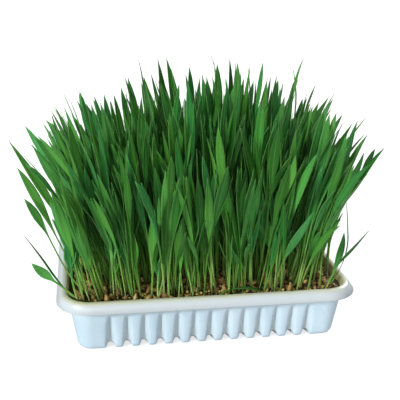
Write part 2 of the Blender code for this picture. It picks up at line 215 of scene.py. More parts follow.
def sheet_steps():
    """Rib place, flute bed place, half the flute's width, how crowned the rib is, how open the bed."""
    steps = []
    plain = [SKIRT_EDGE, SHOULDER, LIP_EDGE, (wall_inset(FLUTE_TOP), FLUTE_TOP)]
    for place in filleted(plain, RIM_FILLET):
        steps.append((place, place, HALF_AT_TOP, 0.0, 0.0))
    for n in range(1, WALL_STEPS + 1):
        t = (n / WALL_STEPS) ** 1.5
        z = FLUTE_TOP + (FOOT_UP - FLUTE_TOP) * t
        bed = FLUTE_TOP + (ARCH_HEIGHT + FOOT_LINE - FLUTE_TOP) * t
        half = HALF_AT_TOP + (HALF_AT_FOOT - HALF_AT_TOP) * t
        deep = FLUTE_DEPTH * (1 - (1 - t) ** 7)
        crown = 1 - (1 - t) ** 4
        steps.append(((wall_inset(z), z), (wall_inset(bed) + deep, bed), half, crown, t ** 3))
    for n in range(1, FOOT_STEPS + 1):
        turn = math.pi / 2 * n / FOOT_STEPS
        z, bed = FOOT_UP * (1 - math.sin(turn)), ARCH_HEIGHT + FOOT_LINE * (1 - math.sin(turn))
        rib = (wall_inset(z) + FOOT_IN * (1 - math.cos(turn)), z)
        beds = (wall_inset(bed) + FLUTE_DEPTH + FOOT_LINE * (1 - math.cos(turn)), bed)
        steps.append((rib, beds, HALF_AT_FOOT, math.cos(turn), 1.0))
    start = steps[-1]
    for n in range(1, FLOOR_STEPS + 1):
        t = n / FLOOR_STEPS
        half = HALF_AT_FOOT + (HALF_AT_END - HALF_AT_FOOT) * t
        rib = (start[0][0] + FLUTE_RUN * t, 0.0)
        bed = (start[1][0] + FLUTE_RUN * t, ARCH_HEIGHT * (1 + math.cos(math.pi * t)) / 2)
        steps.append((rib, bed, half, 0.0, 1.0))
    steps.append(((rib[0] + FLOOR_BAND, 0.0), (bed[0] + FLOOR_BAND, 0.0), half, 0.0, 1.0))
    return steps


# %% [markdown]
# Now the sheet can be drawn. At every step the last loop of edges is extruded, and its new points
# are put in their places. Three layers go with the points: where each began on the outline, how far
# in it is, and how deep in a flute. Extruding copies the first along, and the plastic's finish reads
# the other two. The floor closes the last loop. After that, a Solidify modifier gives the sheet its
# thickness, towards the soil.

# %% Draw the tray
FLUTES_LONG, FLUTES_SHORT = 13, 9
FLUTE_OPENING, FLUTE_ROUNDING = 0.75, 1.3
CORE_X, CORE_Y = TRAY_LENGTH / 2 - CORNER_RADIUS, TRAY_WIDTH / 2 - CORNER_RADIUS


def flute_share(base, half, open_bed):
    """How deep in a flute a point of the outline is, from 0 on a rib to 1, and where on its rib."""
    on_long = abs(base.x) < CORE_X
    on_short = abs(base.y) < CORE_Y
    if not (on_long or on_short):
        return 0.0, 0.0
    along, flutes = (base.x, FLUTES_LONG) if on_long else (base.y, FLUTES_SHORT)
    nearest = round(along / FLUTE_PITCH)
    if abs(nearest) > (flutes - 1) / 2:
        return 0.0, 0.0
    off = along - nearest * FLUTE_PITCH
    near = min(1.0, (1 + FLUTE_OPENING * open_bed) * max(0.0, 1 - abs(off) / half))
    return near ** FLUTE_ROUNDING, (1 + math.cos(2 * math.pi * off / FLUTE_PITCH)) / 2


def sheet_point(base, step):
    """Where a point of the outline lies at one step down the sheet."""
    rib, bed, half, crown, open_bed = step
    core = Vector((max(-CORE_X, min(CORE_X, base.x)), max(-CORE_Y, min(CORE_Y, base.y))))
    out = (base.xy - core).normalized()
    share, on_rib = flute_share(base, half, open_bed)
    inset = rib[0] + (bed[0] - rib[0]) * share + RIB_CROWN * crown * on_rib * (1 - share)
    z = rib[1] + (bed[1] - rib[1]) * share
    return Vector((*(base.xy - out * inset), z))


tray_shape = tray_outline()
base_layer = tray_shape.verts.layers.float_vector.new("outline")
inset_layer = tray_shape.verts.layers.float.new("inset")
groove_layer = tray_shape.verts.layers.float.new("groove")
steps = sheet_steps()
for vert in tray_shape.verts:
    vert[base_layer] = vert.co
    vert[inset_layer] = steps[0][0][0]
    vert.co = sheet_point(vert[base_layer], steps[0])
loop = tray_shape.edges[:]
for step in steps[1:]:
    drawn = bmesh.ops.extrude_edge_only(tray_shape, edges=loop)["geom"]
    loop = [item for item in drawn if isinstance(item, bmesh.types.BMEdge)]
    for vert in [item for item in drawn if isinstance(item, bmesh.types.BMVert)]:
        vert[inset_layer] = step[0][0]
        vert[groove_layer] = flute_share(vert[base_layer], step[2], step[4])[0]
        vert.co = sheet_point(vert[base_layer], step)
bmesh.ops.contextual_create(tray_shape, geom=loop)
bmesh.ops.recalc_face_normals(tray_shape, faces=tray_shape.faces)
floor_face = max(tray_shape.faces, key=lambda face: face.calc_area())
if floor_face.normal.z > 0:
    bmesh.ops.reverse_faces(tray_shape, faces=tray_shape.faces)
print("the tray's sheet has", len(tray_shape.faces), "faces")


# %% [markdown]
# Formed plastic is smooth but never perfectly even. Its white is slightly blue, and its gloss
# changes a little where the sheet cooled on the mould. The feet are greyer near the floor, and
# painted shade greys the flutes. The rim is a warmer white. Solidify makes a second skin, which is
# the top of the rim and the inside of the wall, and gives it the next material. That finish also has
# the stain of wet soil, painted lighter to stand in for light that comes through the thin wall, a
# cream band round the top of the rim and an olive line on its lip, so they never show outside on the
# wall.

# %% The tray's plastic
WALL_WHITES = (0.485, 0.62, 0.705, 1), (0.53, 0.66, 0.745, 1)
RIM_WHITE = (0.51, 0.565, 0.59, 1)
FOOT_GREY, PAINTED_FLUTE_SHADE = (0.50, 0.52, 0.50, 1), (0.45, 0.46, 0.42, 1)
STAIN_WITH_PAINTED_LIGHT, CREAM, OLIVE = (0.62, 0.50, 0.20, 1), (0.49, 0.495, 0.26, 1), (0.36, 0.33, 0.13, 1)


def stained(tree, where, height, broad, colour):
    """The plastic's colour with the soil's stain, the cream on the rim's top and the olive lip. The
    stain is painted lighter, to stand in for light that comes through the thin wall.
    """
    inset = node(tree, "Attribute", attribute_name="inset").outputs["Fac"]
    level = maths(tree, "ADD", height, times(tree, broad, -6 * MM))
    wet = span(tree, level, 28.5 * MM, 35.5 * MM, 1, 0.25)
    splashed = times(tree, wet, span(tree, inset, 5.6 * MM, 7.0 * MM))
    speckled = span(tree, cloud(tree, where, 700, 4), 0.46, 0.60)
    patchy = maths(tree, "ADD", times(tree, speckled, 0.6), 0.35)
    # The stain is painted lighter than wet soil, to stand in for light through the thin wall.
    colour = blend(tree, times(tree, splashed, patchy), colour, STAIN_WITH_PAINTED_LIGHT)
    worn = span(tree, broad, 0.30, 0.65, 0.45, 1)
    creamy = times(tree, span(tree, inset, 3.6 * MM, 4.8 * MM), worn)
    colour = blend(tree, times(tree, creamy, 0.8), colour, CREAM)
    lip = span(tree, inset, 6.0 * MM, 6.6 * MM)
    return blend(tree, times(tree, lip, 0.7), colour, OLIVE)


def plastic(name, has_stains):
    material, tree, shader, where = finish_named(name)
    height = node(tree, "SeparateXYZ", {0: where}).outputs[2]
    broad, fine = cloud(tree, where, 45, 3), cloud(tree, where, 900, 2)
    colour = blend(tree, span(tree, broad, 0.35, 0.65), *WALL_WHITES)
    colour = blend(tree, span(tree, height, 24.0 * MM, 29.5 * MM), colour, RIM_WHITE)
    # The feet are greyer near the floor.
    uneven = maths(tree, "ADD", height, times(tree, fine, 2 * MM))
    greyer_near_floor = span(tree, uneven, 0.0, 2.6 * MM, 1, 0)
    colour = blend(tree, times(tree, greyer_near_floor, 0.35), colour, FOOT_GREY)
    # Shade is painted into the flutes, fading out towards their tops.
    groove = node(tree, "Attribute", attribute_name="groove").outputs["Fac"]
    flute_shade_fade = span(tree, height, FLUTE_TOP - 3 * MM, FLUTE_TOP, 0.5, 0.0)
    colour = blend(tree, times(tree, groove, flute_shade_fade), colour, PAINTED_FLUTE_SHADE)
    if has_stains:
        colour = stained(tree, where, height, broad, colour)
    tree.links.new(colour, shader.inputs["Base Color"])
    gloss = span(tree, cloud(tree, where, 160, 3), 0.3, 0.7, 0.26, 0.40)
    tree.links.new(gloss, shader.inputs["Roughness"])
    ripple = node(tree, "Bump", {"Height": broad, "Strength": 0.25, "Distance": 0.0006})
    tree.links.new(ripple.outputs[0], shader.inputs["Normal"])
    shader.inputs["IOR"].default_value = 1.49
    return material


skins = [plastic("white_plastic", False), plastic("stained_plastic", True)]
tray = piece(tray_shape, "tray_sheet", skins, ["tray"])
sheet = tray.modifiers.new("Sheet", "SOLIDIFY")
sheet.thickness = SHEET
sheet.offset = -1
sheet.use_even_offset = True
sheet.material_offset = 1


# %% [markdown]
# The soil is a moist growing mix, raked level by hand and then lifted in places by the roots. Its
# top is a fine grid laid in the tray's round-cornered outline. The plain model's slow waves give it
# its level, and three sizes of noise break it up: heaps, clods and crumbs. The sides drop to the
# floor in a few steps, so that it is a closed body.

# %% Soil
SOIL_TOP, SOIL_WAVE, SOIL_GAP = 31.2 * MM, 0.7 * MM, 0.4 * MM
SOIL_CELLS = (168, 124)
SOIL_CHAMFER, OVER_FLUTES = 2 * MM, 1.5 * MM
HEAPS, CLODS, CRUMBS = (1.1 * MM, 140), (0.7 * MM, 420), (0.35 * MM, 1100)


def soil_height(x, y):
    """The soil's level at a place: the plain model's waves, made rough."""
    wave = math.sin(310 * x + 1.3 * math.sin(190 * y)) * math.cos(270 * y + 0.7)
    spot = Vector((x, y, 0))
    rough = sum(most * noise.noise(spot * scale) for most, scale in (HEAPS, CLODS, CRUMBS))
    return SOIL_TOP + SOIL_WAVE * wave + rough


def laid_in_tray(u, v, inset):
    """A point of a square from -1 to 1, laid in the tray's outline, this far in from its rim."""
    half_x, half_y, radius = TRAY_LENGTH / 2 - inset, TRAY_WIDTH / 2 - inset, CORNER_RADIUS - inset
    x, y = u * half_x, v * half_y
    dx, dy = abs(x) - (half_x - radius), abs(y) - (half_y - radius)
    if dx > 0 and dy > 0:
        pull = max(dx, dy) / math.hypot(dx, dy)
        x = math.copysign(half_x - radius + dx * pull, x)
        y = math.copysign(half_y - radius + dy * pull, y)
    return x, y


def soil_shape():
    shape = bmesh.new()
    bmesh.ops.create_grid(shape, x_segments=SOIL_CELLS[0], y_segments=SOIL_CELLS[1], size=1)
    square = shape.verts.layers.float_vector.new("square")
    for vert in shape.verts:
        vert[square] = vert.co
        x, y = laid_in_tray(vert.co.x, vert.co.y, wall_inset(SOIL_TOP) + SHEET + SOIL_GAP)
        vert.co = (x, y, soil_height(x, y))
    edges = [edge for edge in shape.edges if edge.is_boundary]
    clear = SHEET + SOIL_GAP
    low, above = ARCH_HEIGHT + clear, FLUTE_TOP + OVER_FLUTES
    sides = [(wall_inset(above) + clear, above),
             (wall_inset(FLUTE_TOP) + FLUTE_DEPTH + clear, FLUTE_TOP),
             (wall_inset(low + SOIL_CHAMFER) + FLUTE_DEPTH + clear, low + SOIL_CHAMFER),
             (wall_inset(0) + FLUTE_DEPTH + FOOT_LINE + clear, low),
             (wall_inset(0) + FOOT_IN + FLUTE_RUN + SOIL_CHAMFER + clear, clear)]
    for inset, z in sides:
        drawn = bmesh.ops.extrude_edge_only(shape, edges=edges)["geom"]
        edges = [item for item in drawn if isinstance(item, bmesh.types.BMEdge)]
        for vert in [item for item in drawn if isinstance(item, bmesh.types.BMVert)]:
            vert.co = (*laid_in_tray(vert[square].x, vert[square].y, inset), z)
    bmesh.ops.contextual_create(shape, geom=edges)
    bmesh.ops.recalc_face_normals(shape, faces=shape.faces)
    return shape


# %% [markdown]
# Wet growing mix is almost black in its hollows and a warm brown where it has dried. The colour
# therefore follows a coarse noise for damp and dry, a fine one for fibres, and bright specks for the
# mineral flakes that are too small to model. It is rough all over, with a faint shine where it is
# wettest.

# %% Soil finish
SOIL_BROWNS = ((0.30, (0.012, 0.007, 0.004)), (0.52, (0.042, 0.027, 0.009)),
               (0.68, (0.14, 0.092, 0.028)))
DAMP_BROWN, SPECK = (0.012, 0.008, 0.005, 1), (0.36, 0.24, 0.06, 1)


def soil_finish():
    material, tree, shader, where = finish_named("moist_soil")
    damp = span(tree, cloud(tree, where, 90, 4), 0.35, 0.65)
    fibres = cloud(tree, where, 1500, 5, 0.7)
    colour = blend(tree, times(tree, damp, 0.55), ramp(tree, fibres, SOIL_BROWNS), DAMP_BROWN)
    specks = node(tree, "TexVoronoi", {"Vector": where, "Scale": 800.0}).outputs["Distance"]
    colour = blend(tree, span(tree, specks, 0.10, 0.22, 0.8, 0), colour, SPECK)
    tree.links.new(colour, shader.inputs["Base Color"])
    tree.links.new(span(tree, damp, 0, 1, 0.95, 0.55), shader.inputs["Roughness"])
    bump = node(tree, "Bump", {"Height": fibres, "Strength": 0.9, "Distance": 0.0006})
    tree.links.new(bump.outputs[0], shader.inputs["Normal"])
    return material


piece(soil_shape(), "soil_bed", [soil_finish()], ["soil"])


# %% [markdown]
# Loose bits cover the soil: seed grains, golden mineral flakes and dark crumbs. Each kind repeats
# hundreds of times, so it has one low form or a few, of 20 to 80 faces, made once: a sphere that is
# pinched and creased for the grain, or crumpled for the rest. Every bit is a copy of one of them,
# turned and sized by a seeded random source, half sunk at the soil's own height where it lies. Many
# grains stand on end, because the first roots push them up.

# %% Forms of the loose bits
draw = random.Random(41)


def grain_form():
    """A seed grain of length 1 along X: an oval with narrow ends and a crease along its belly."""
    shape = bmesh.new()
    bmesh.ops.create_uvsphere(shape, u_segments=10, v_segments=8, radius=0.5)
    for vert in shape.verts:
        along, side, up = vert.co.z * 2, vert.co.y * 2, vert.co.x * 2
        narrow = 0.46 * (1 - 0.30 * along ** 2)
        crease = 0.30 * math.exp(-(side / 0.28) ** 2) if up > 0 else 0.0
        vert.co = Vector((along, side * narrow, (up - crease) * narrow)) / 2
    bmesh.ops.recalc_face_normals(shape, faces=shape.faces)
    return form_mesh(shape, "grain_form")


def crumpled_form(crumple):
    """A bit of size 1: a low sphere, crumpled."""
    shape = bmesh.new()
    bmesh.ops.create_icosphere(shape, subdivisions=1, radius=0.5)
    for vert in shape.verts:
        vert.co *= 1 + draw.uniform(-crumple, crumple)
    return form_mesh(shape, "crumpled_form")


def form_mesh(shape, name):
    mesh = bpy.data.meshes.new(name)
    shape.to_mesh(mesh)
    shape.free()
    return mesh


# %% [markdown]
# Scattering lays the copies on the soil. Each bit gets a place, a height, a lean, a turn, a size and a
# form from the random source, always in that order, so that the bed looks the same on every run.

# %% Scatter the loose bits
BED_INSET = 8.9 * MM


def scattered(forms, count, size, lift, tilts):
    """Copies of the forms, laid on the soil. Lift is how far above its level, tilts how they lean."""
    shape = bmesh.new()
    for _ in range(count):
        x, y = laid_in_tray(draw.uniform(-1, 1), draw.uniform(-1, 1), BED_INSET + size[0][1] / 2 * MM)
        place = Vector((x, y, soil_height(x, y) + draw.uniform(*lift) * MM))
        tilt = draw.choice(tilts)
        lean = Matrix.Rotation(draw.uniform(0.6, 1.0) * tilt, 4, "Y")
        lean = lean @ Matrix.Rotation(draw.uniform(0, 6.28), 4, "X")
        turn = Matrix.Rotation(draw.uniform(0, 2 * math.pi), 4, "Z") @ lean
        scale = Matrix.Diagonal([*(draw.uniform(*pair) * MM for pair in size), 1])
        copy = draw.choice(forms).copy()
        copy.transform(Matrix.Translation(place) @ turn @ scale)
        shape.from_mesh(copy)
        bpy.data.meshes.remove(copy)
    return shape


# %% [markdown]
# The grains are tan husks that have split and browned. The flakes are a mineral that expands like a
# tiny accordion, golden where light strikes along its layers. Both finishes vary from bit to bit by
# a cell pattern on Object coordinates: its cells are larger than a bit, so a bit mostly takes one
# colour.

# %% Finishes of the loose bits
HUSKS = (0.20, 0.10, 0.024), (0.40, 0.24, 0.060), (0.62, 0.45, 0.15)
GOLDS = (0.17, 0.10, 0.02), (0.45, 0.30, 0.045), (0.66, 0.50, 0.13)
PEATS = (0.010, 0.006, 0.004), (0.045, 0.024, 0.010), (0.11, 0.06, 0.025)
STREAK = (0.05, 0.028, 0.012, 1)


def bit_finish(name, colours, roughness, fine_scale):
    """Colours are drawn by cells about as large as a bit, and streaked by a fine noise."""
    material, tree, shader, where = finish_named(name)
    cells = node(tree, "TexVoronoi", {"Vector": where, "Scale": 230.0}).outputs["Color"]
    each = node(tree, "SeparateColor", {0: cells}).outputs[0]
    stops = [(n / (len(colours) - 1), colour) for n, colour in enumerate(colours)]
    streaks = cloud(tree, where, fine_scale, 4, 0.7)
    colour = blend(tree, span(tree, streaks, 0.35, 0.75, 0.0, 0.75), ramp(tree, each, stops), STREAK)
    tree.links.new(colour, shader.inputs["Base Color"])
    gloss = span(tree, streaks, 0.3, 0.7, roughness, roughness + 0.25)
    tree.links.new(gloss, shader.inputs["Roughness"])
    bump = node(tree, "Bump", {"Height": streaks, "Strength": 0.6, "Distance": 0.0003})
    tree.links.new(bump.outputs[0], shader.inputs["Normal"])
    return material


husk = bit_finish("seed_husk", HUSKS, 0.42, 900)
gold = bit_finish("golden_flake", GOLDS, 0.35, 1400)
peat = bit_finish("peat_crumb", PEATS, 0.75, 1600)
grain = [grain_form()]
crumpled = [crumpled_form(0.3) for _ in range(6)]
piece(scattered(grain, 420, [(6.2, 7.8), (6.2, 7.6), (6.2, 7.6)], (-0.4, 2.0), (0.3, 1.0, 1.5)),
      "seed_grains", [husk])
piece(scattered(crumpled, 2200, [(1.6, 4.0), (1.4, 3.0), (0.5, 1.2)], (-0.2, 1.0), (0.3, 0.9)),
      "golden_flakes", [gold])
piece(scattered(crumpled, 1600, [(1.0, 2.6), (1.0, 2.4), (0.8, 1.8)], (-0.3, 0.6), (0.5, 1.2)),
      "peat_crumbs", [peat])


# %% [markdown]
# Every tuft of the plain model holds about ten stiff blades. The real seedlings stand at the same
# places, with more of them between. So the blades are read back from the tufts: a tip is a point
# that is higher than all its neighbours, and from there the rings of points are followed down to the
# soil. Each ring gives the blade's middle and the way it faces. Points are always taken in the order
# of their places, so that every run reads the same blades.

# %% Read the blades of the plain model
TUFTS = sorted(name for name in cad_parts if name.startswith("tuft_"))


def rings_below(tip, lowest):
    """The tip's rings of neighbours, from the tip down to the soil."""
    rings, seen = [[tip]], {tip}
    while rings[-1] and min(vert.co.z for vert in rings[-1]) > lowest:
        below = {edge.other_vert(vert) for vert in rings[-1] for edge in vert.link_edges} - seen
        seen |= below
        rings.append(sorted(below, key=lambda vert: tuple(vert.co)))
    return rings


def plain_blades(name):
    """Each blade of a tuft: its middle line from the soil to the tip, its facing and its width."""
    shape = bmesh.new()
    shape.from_mesh(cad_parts[name].data)
    bmesh.ops.remove_doubles(shape, verts=shape.verts, dist=1e-6)
    blades = []
    for tip in sorted(shape.verts, key=lambda vert: tuple(vert.co)):
        around = [edge.other_vert(tip) for edge in tip.link_edges]
        if tip.co.z < SOIL_TOP + 20 * MM or any(vert.co.z > tip.co.z - 1 * MM for vert in around):
            continue
        rings = rings_below(tip, SOIL_TOP)
        line = [sum((vert.co for vert in ring), Vector()) / len(ring) for ring in rings[:4]]
        pairs = [(b.co - a.co) for a in rings[1] for b in rings[1]]
        across = max(pairs, key=lambda pair: pair.length)
        blades.append({"line": line[::-1], "across": across.normalized(), "width": across.length})
    shape.free()
    return blades


planted = {name: plain_blades(name) for name in TUFTS}
print("the plain model has", sum(map(len, planted.values())), "blades")


# %% [markdown]
# A young wheat leaf is a ribbon that is rolled into a tube at its foot, which makes the pale stem,
# and opens into a flat blade higher up. One form serves both: a ribbon whose section is an arc. At
# the foot the arc is almost a full circle. It opens until only a shallow trough is left, and the
# ribbon narrows to the tip. A grid is the right start, because its squares are the ribbon's.

# %% The form of a blade
BLADE_CELLS = (4, 14)
ROW_CROWDING = 0.78
ROLLED, OPEN = math.radians(320), math.radians(42)
SINK = Vector((0, 0, -0.55))
RIPPLE_RATE = 19
LINE_PLACES = (0.0, 0.40, 0.72, 1.0)


def along_line(line, t):
    """A point of the smooth curve through the line's four points, t from 0 at the soil to 1."""
    point = Vector()
    for n, control in enumerate(line):
        share = 1.0
        for m, other in enumerate(LINE_PLACES):
            if m != n:
                share *= (t - other) / (LINE_PLACES[n] - other)
        point += control * share
    return point


def eased(t, low, high):
    t = max(0.0, min(1.0, (t - low) / (high - low)))
    return t * t * (3 - 2 * t)


def ribbon_half(blade, t):
    """Half the visible width: a thin tube, then a spearhead."""
    if t < blade["widest"]:
        spread = eased(t, blade["opens"], blade["widest"])
        return blade["stem"] + (blade["width"] / 2 - blade["stem"]) * spread
    past = (t - blade["widest"]) / (1 - blade["widest"])
    return blade["width"] / 2 * (1 - past ** 2.1)


def ribbon_row(blade, t):
    """The middle of the ribbon at t, the ways across and behind it, its radius, arc and ripple."""
    centre = along_line(blade["line"], t)
    ahead = (along_line(blade["line"], t + 0.01) - along_line(blade["line"], t - 0.01)).normalized()
    centre += (blade["fall"] + SINK) * blade["droop"] * t ** 4
    across = Matrix.Rotation(blade["twist"] * (t - 0.5), 3, ahead) @ blade["across"]
    across = (across - ahead * across.dot(ahead)).normalized()
    arc = ROLLED + (OPEN - ROLLED) * eased(t, blade["opens"] - 0.05, blade["opens"] + 0.12)
    radius = ribbon_half(blade, t) / math.sin(min(arc, math.pi) / 2)
    ripple = blade["wave"] * math.sin(blade["phase"] + RIPPLE_RATE * t)
    ripple *= eased(t, blade["opens"], blade["widest"])
    return centre, across, across.cross(ahead), radius, arc, ripple


def row_point(row, u):
    """A point of the row, u from -1 to 1 across the ribbon."""
    centre, across, behind, radius, arc, ripple = row
    turn = u * arc / 2
    return centre + across * radius * math.sin(turn) + behind * (radius * (1 - math.cos(turn)) + ripple)


def place_along(blade, y):
    """Where on the blade a row of the grid goes, y from -1 to 1: the rows crowd towards the tip."""
    return blade["start"] + (1 - blade["start"]) * ((y + 1) / 2) ** ROW_CROWDING


def add_blade(shape, blade, uv_layer, tone_and_shade_layer):
    """Adds one ribbon to a tuft's mesh. One UV map runs over the blade, the other holds its tone
    and its share of painted shade.
    """
    columns, rows_up = BLADE_CELLS
    made = bmesh.ops.create_grid(shape, x_segments=columns, y_segments=rows_up, size=1)["verts"]
    for face in {face for vert in made for face in vert.link_faces}:
        for corner in face.loops:
            corner[uv_layer].uv = ((corner.vert.co.x + 1) / 2, place_along(blade, corner.vert.co.y))
            corner[tone_and_shade_layer].uv = blade["tone"]
    tips = [vert for vert in made if vert.co.y > 0.999]
    rows = {}
    for vert in made:
        place = round(vert.co.y, 4)
        if place not in rows:
            rows[place] = ribbon_row(blade, place_along(blade, place))
        vert.co = row_point(rows[place], vert.co.x)
    bmesh.ops.pointmerge(shape, verts=tips, merge_co=row_point(rows[1.0], 0))


# %% [markdown]
# A seedling's own measures are drawn from narrow ranges. A leading seedling follows a blade of the
# plain model, but its root stands a little away from the tuft's middle and against the lean, because
# real stems are spread over the bed and rise at a slant. The others stand between two of these
# blades: their line is a mix of both, nudged a little and cut shorter, so that the bed fills up.
# Most carry a second, thinner leaf that leaves the stem half way up.

# %% Measures of a seedling
draw = random.Random(73)
CELL = (21.2 * MM, 17.3 * MM)
BOX_LOW, BOX_HIGH = model_box
BOX_MARGIN = (4.5 * MM, 4.5 * MM, 1.0 * MM)
ROOT_SHIFT = 0.16
BARE_STEM = 23 * MM
DOME_TOP, DOME_SLOPE, DOME_DROP = 1.025, 0.05, 0.18


def held(point):
    """The nearest point that is well inside the plain model's box."""
    return Vector([max(low + margin, min(high - margin, part))
                   for part, low, high, margin in zip(point, BOX_LOW, BOX_HIGH, BOX_MARGIN)])


def dome(root):
    """How tall seedlings stand at a place: tallest in the middle of the bed, lowest at its left end."""
    side = root.x / (TRAY_LENGTH / 2)
    return DOME_TOP + DOME_SLOPE * side - DOME_DROP * side * side


def seedling(line, across, width, share=1.0, shift=ROOT_SHIFT):
    """The measures of one leaf. A share under 1 cuts it shorter."""
    root = line[0] - (line[-1] - line[0]) * shift
    root.z = soil_height(root.x, root.y) - 2 * MM
    top = [held(along_line(line, t * share)) for t in LINE_PLACES[1:]]
    fall = Vector((top[-1].x - root.x, top[-1].y - root.y, 0))
    fall = fall.normalized() if fall.length > 2 * MM else Vector((0, -1, 0))
    room = (held(top[-1] + fall * 30 * MM) - top[-1]).length
    length = (top[-1] - root).length
    opens = min(0.62, max(BARE_STEM / length, 1 - draw.uniform(38, 62) * MM / length))
    return {
        "line": [root, *top], "across": across, "width": width, "start": 0.0,
        "stem": draw.uniform(0.32, 0.48) * MM, "opens": opens,
        "widest": opens + (1 - opens) * draw.uniform(0.42, 0.58),
        "twist": draw.gauss(0, 2.0), "wave": draw.uniform(0.0, 0.35) * MM,
        # The tone: a hue, and a share of painted shade.
        "phase": draw.uniform(0, 6.28), "tone": (draw.random(), draw.random()),
        "droop": min(room, max(0.0, draw.gauss(0.0, 3.0)) * MM), "fall": fall,
    }


def companion(centre, first, second):
    """A seedling near two blades of the plain model, with a root of its own in the tuft's cell."""
    share = draw.uniform(0.2, 0.8)
    line = [a.lerp(b, share) for a, b in zip(first["line"], second["line"])]
    root = centre + Vector((draw.uniform(-0.5, 0.5) * CELL[0], draw.uniform(-0.5, 0.5) * CELL[1], 0))
    shift = Vector((root.x - line[0].x, root.y - line[0].y, 0))
    away = Vector((draw.gauss(0, 3.0), draw.gauss(0, 3.0), 0)) * MM
    line = [point + shift * (1 - 0.6 * t) + away * t ** 1.5 for point, t in zip(line, LINE_PLACES)]
    turn = draw.uniform(-1.1, 1.1)
    across = Vector((math.cos(turn), math.sin(turn), 0))
    tall = 0.36 + 0.62 * draw.random() ** 0.7
    return seedling(line, across, draw.uniform(4.2, 6.6) * MM, tall * dome(root))


def second_leaf(leaf):
    """A thinner leaf out of the first one's stem."""
    start = leaf["opens"] * draw.uniform(0.6, 0.95)
    turn = draw.uniform(0, 2 * math.pi)
    away = Vector((math.cos(turn), math.sin(turn), 0)) * draw.uniform(4, 11) * MM
    line = []
    for t in LINE_PLACES:
        reach = max(0.0, t - start) / (1 - start)
        line.append(held(along_line(leaf["line"], t * 0.92) + away * reach ** 1.3))
    line[0] = leaf["line"][0]
    return dict(leaf, line=line, start=start, width=leaf["width"] * draw.uniform(0.55, 0.85), droop=0.0,
                stem=leaf["stem"] * 0.7, opens=start, widest=start + (1 - start) * 0.55,
                twist=draw.gauss(0, 1.6), across=Vector((-away.y, away.x, 0)).normalized())


# %% [markdown]
# Each tuft is planted in turn: first its leading seedlings, then companions beside its more upright
# blades, then the second leaves. Past the tray's ends a leaf may hang out only if its tip is high
# enough, and very low blades aren't used. Leaves listed one by one stand there instead, further on.

# %% Plant the seedlings
COMPANIONS, SECOND_LEAVES = 1.3, 0.75
ROOT_SPREAD, LEAD_WIDTH, UPRIGHT_SHARE = 0.45, 1.1, 0.65
LOWEST_TIP = 58 * MM
RIM_REACH = 97 * MM
LOWEST_OUTSIDE, FRONT_RISE = 104 * MM, 0.35


def lean(blade):
    return (blade["line"][-1] - blade["line"][0]).xy.length


def hangs_out(leaf):
    """Whether a leaf reaches out low past an end of the tray. What is low is higher at the front."""
    tip = leaf["line"][-1]
    return abs(tip.x) > RIM_REACH and tip.z < LOWEST_OUTSIDE - FRONT_RISE * tip.y


def tuft_leaves(name):
    """Every leaf of one tuft."""
    blades = [blade for blade in planted[name] if blade["line"][-1].z > LOWEST_TIP]
    centre = sum((blade["line"][0] for blade in blades), Vector()) / len(blades)
    leaves = []
    for blade in blades:
        root = blade["line"][0]
        line = [root + (root - centre) * ROOT_SPREAD, *blade["line"][1:]]
        leaves.append(seedling(line, blade["across"], blade["width"] * LEAD_WIDTH, dome(root)))
    upright = sorted(blades, key=lean)[:max(2, round(len(blades) * UPRIGHT_SHARE))]
    for _ in range(round(COMPANIONS * len(blades))):
        leaves.append(companion(centre, *draw.sample(upright, 2)))
    leaves += [second_leaf(leaf) for leaf in leaves if draw.random() < SECOND_LEAVES]
    return [leaf for leaf in leaves if not hangs_out(leaf)]


# %% [markdown]
# The leaf's colour runs with the blade and not with the world, so it reads the blade's own UV map:
# pale and yellowish at the foot, where no light reached, and a deep green above. Fine lines across
# the map are the veins, and a lighter one is the middle rib. A second UV map holds two numbers for
# each blade: its tone, which moves it towards a bluer or a yellower green, and how much painted shade
# it gets. Shade is also painted by place, deep inside the bed and on the tops. The left end is painted
# lighter: the darker leaves get less shade there. Light comes through a leaf, so a translucent shader
# is mixed in.

# %% The leaf's finish
BLUE_GREENS = ((0.02, (0.60, 0.79, 0.28)), (0.24, (0.29, 0.64, 0.125)),
               (0.48, (0.064, 0.385, 0.094)), (0.95, (0.043, 0.29, 0.074)))
YELLOW_GREENS = ((0.02, (0.68, 0.80, 0.26)), (0.24, (0.41, 0.72, 0.110)),
                 (0.48, (0.146, 0.475, 0.052)), (0.95, (0.094, 0.34, 0.040)))
# Painted shade: on darker leaves (less at the lighter left end), on the tops and deep inside the bed.
PAINTED_SHADE_LEAF, PAINTED_SHADE_TOPS, PAINTED_SHADE_INSIDE = (0.26, 0.39, 0.17, 1), (0.51, 0.72, 0.41, 1), (0.21, 0.36, 0.13, 1)
PAINTED_LIGHT_LEFT_END, SHADED_TOP_HEIGHTS = (-88 * MM, -45 * MM), (95 * MM, 150 * MM)
SHADE_INSIDE_DEPTHS, SHADE_INSIDE_HEIGHTS = (15 * MM, 34 * MM), (80 * MM, 140 * MM)
VEIN_COUNT = 9
VEIN, MIDDLE_RIB = (0.02, 0.09, 0.02, 1), (0.22, 0.42, 0.12, 1)
SEEN_THROUGH = (0.35, 0.75, 0.08, 1)


def grown_green(tree, along, tone, uneven):
    """Pale at the foot and deep green above, bluer or yellower by the blade's tone."""
    shift = times(tree, maths(tree, "SUBTRACT", tone, 0.5), 0.16)
    height = maths(tree, "ADD", along, shift)
    hue = span(tree, maths(tree, "ADD", tone, times(tree, uneven, 0.6)), 0.35, 1.35)
    return blend(tree, hue, ramp(tree, height, BLUE_GREENS), ramp(tree, height, YELLOW_GREENS))


